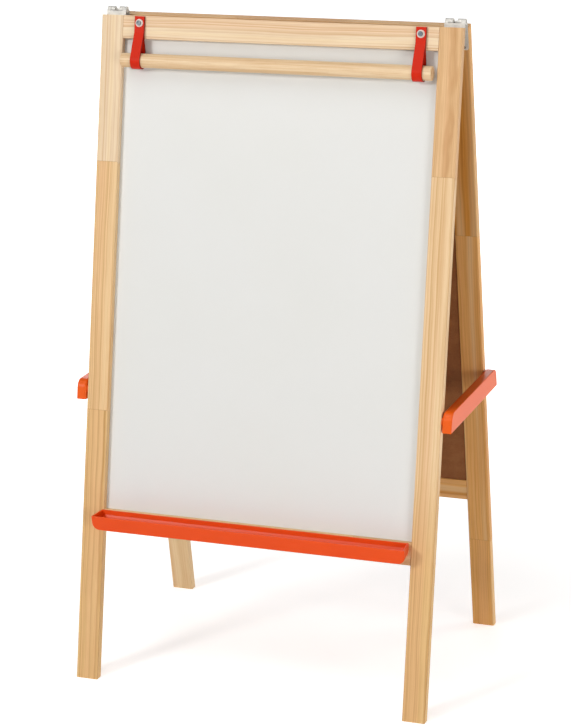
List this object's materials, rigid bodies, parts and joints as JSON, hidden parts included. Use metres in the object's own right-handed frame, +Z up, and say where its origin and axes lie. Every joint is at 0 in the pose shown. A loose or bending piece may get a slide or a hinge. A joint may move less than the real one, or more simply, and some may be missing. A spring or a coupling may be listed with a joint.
{
  "type": "childrens easel",
  "caption": "Folding A-frame easel for children: whiteboard and chalkboard in pine frames, hinged on top, red trays, hooked stay arms and a paper bar in straps.",
  "frame": {"origin": "on the floor, midway between the four feet of the opened easel", "axes": "+Z up, +X to the right as seen from the whiteboard side, -Y towards the person at the whiteboard"},
  "size_m": [0.694, 0.48, 1.1796],
  "materials": {
    "pine": "clear lacquered solid pine",
    "beech_pin": "raw beech",
    "beech_bar": "clear lacquered round bar",
    "white_board": "white lacquered hardboard, wipe-clean",
    "chalk_board": "matt black face, raw brown hardboard back",
    "red_plastic": "moulded orange-red plastic, satin",
    "red_strap": "red synthetic leather strap",
    "cup_washer": "off-white moulded cup washer",
    "white_nylon": "natural nylon",
    "hinge_steel": "zinc plated steel",
    "zinc_steel": "zinc plated steel"
  },
  "bodies": {
    "front_frame": {"front_left_stile": "pine", "front_right_stile": "pine", "front_top_rail": "pine", "front_bottom_rail": "pine", "front_rail_pins": "beech_pin", "whiteboard_panel": "white_board", "front_tray": "red_plastic", "front_tray_screws": "zinc_steel", "left_strap": "red_strap", "right_strap": "red_strap", "strap_washers": "cup_washer", "strap_screws": "zinc_steel", "left_hinge_front_leaf": "hinge_steel", "right_hinge_front_leaf": "hinge_steel", "left_hinge_pin": "hinge_steel", "right_hinge_pin": "hinge_steel", "hinge_front_screws": "zinc_steel", "front_shoulder_screws": "zinc_steel", "front_spacers": "white_nylon"},
    "rear_frame": {"rear_left_stile": "pine", "rear_right_stile": "pine", "rear_top_rail": "pine", "rear_bottom_rail": "pine", "rear_rail_pins": "beech_pin", "chalkboard_panel": "chalk_board", "rear_tray": "red_plastic", "rear_tray_screws": "zinc_steel", "left_hinge_rear_leaf": "hinge_steel", "right_hinge_rear_leaf": "hinge_steel", "hinge_rear_screws": "zinc_steel", "rear_shoulder_screws": "zinc_steel", "rear_spacers": "white_nylon"},
    "left_arm": {"left_arm": "red_plastic"},
    "right_arm": {"right_arm": "red_plastic"},
    "paper_bar": {"paper_bar": "beech_bar"}
  },
  "joints": [
    {"name": "fold", "type": "hinge", "parent": "front_frame", "child": "rear_frame", "pos_m": [0, 0, 1.174], "axis": [-1, 0, 0], "range_deg": [0, 20.77]},
    {"name": "left_arm_swing", "type": "hinge", "parent": "front_frame", "child": "left_arm", "pos_m": [-0.338, -0.137, 0.515], "axis": [1, 0, 0], "range_deg": [0, 79.62]},
    {"name": "right_arm_swing", "type": "hinge", "parent": "front_frame", "child": "right_arm", "pos_m": [0.338, -0.137, 0.515], "axis": [1, 0, 0], "range_deg": [0, 79.62]},
    {"name": "paper_bar_spin", "type": "hinge", "parent": "front_frame", "child": "paper_bar", "pos_m": [-0.0016, -0.04421, 1.09245], "axis": [1, 0, 0], "continuous": true}
  ],
  "couplings": [
    {"joint": "left_arm_swing", "follows": "fold", "ratio": 3.8342},
    {"joint": "right_arm_swing", "follows": "fold", "ratio": 3.8342}
  ]
}
